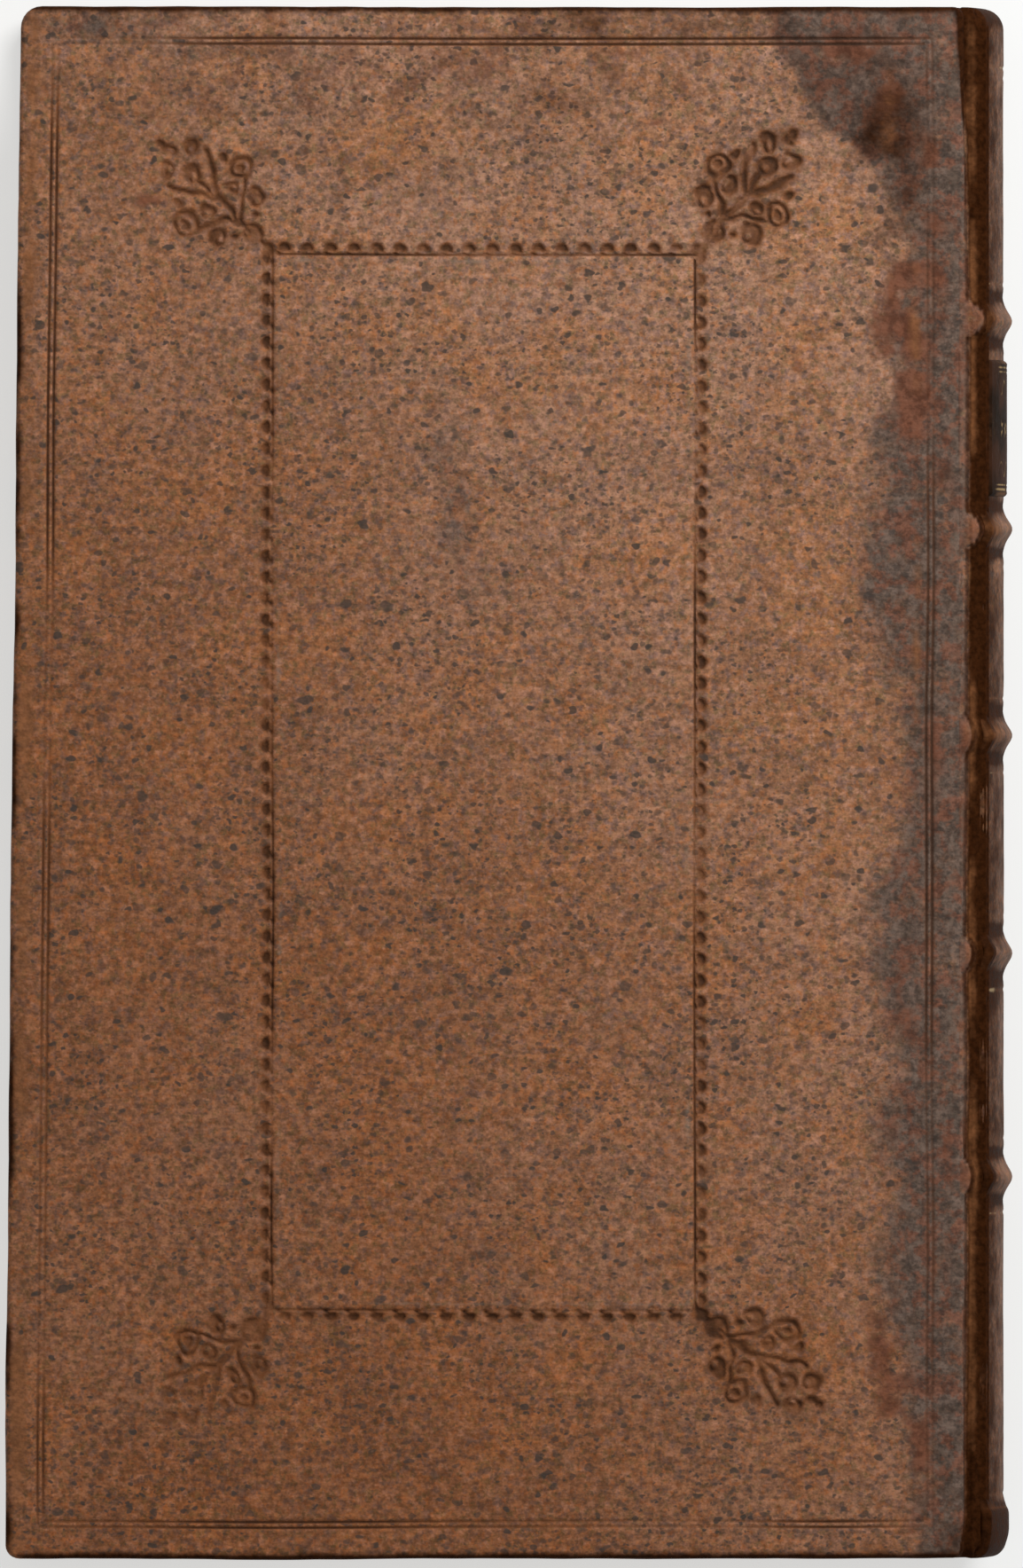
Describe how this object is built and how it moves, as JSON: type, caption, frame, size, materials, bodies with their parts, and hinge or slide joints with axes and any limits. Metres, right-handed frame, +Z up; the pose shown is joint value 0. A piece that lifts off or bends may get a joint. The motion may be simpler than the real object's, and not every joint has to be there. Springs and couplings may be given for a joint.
{
  "type": "antique leather book",
  "caption": "Closed antique octavo in sprinkled calf with blind-tooled panel, raised bands and a dark spine label; both covers open at their joints.",
  "frame": {"origin": "on the resting surface, below the middle of the closed book", "axes": "+X to the spine, +Y to the head, +Z up through the front cover, the pages and the back cover"},
  "size_m": [0.1288, 0.198, 0.0346],
  "materials": {
    "calf": "sprinkled and worn, low sheen",
    "label": "dark, with worn gilt",
    "pages": "toned, matt",
    "pastedown": "toned laid paper",
    "pasteboard": "grey-brown, matt",
    "cord": "twisted hemp",
    "endband": "wound thread, faded"
  },
  "bodies": {
    "book_block": {"text_block": "pages", "spine_leather": "calf", "spine_label": "label", "sewing_cord_1": "cord", "sewing_cord_2": "cord", "sewing_cord_3": "cord", "sewing_cord_4": "cord", "sewing_cord_5": "cord", "head_endband": "endband", "tail_endband": "endband"},
    "front_cover": {"front_board": "pasteboard", "front_slips": "cord", "front_leather": "calf", "front_pastedown": "pastedown"},
    "back_cover": {"back_board": "pasteboard", "back_slips": "cord", "back_leather": "calf", "back_pastedown": "pastedown"}
  },
  "joints": [
    {"name": "back_cover_hinge", "type": "hinge", "parent": "book_block", "child": "back_cover", "pos_m": [0.05822, 0, 0.0346], "axis": [0, 1, 0], "range_deg": [0, 180]},
    {"name": "front_cover_hinge", "type": "hinge", "parent": "book_block", "child": "front_cover", "pos_m": [0.05822, 0, 0], "axis": [0, -1, 0], "range_deg": [0, 180]}
  ]
}
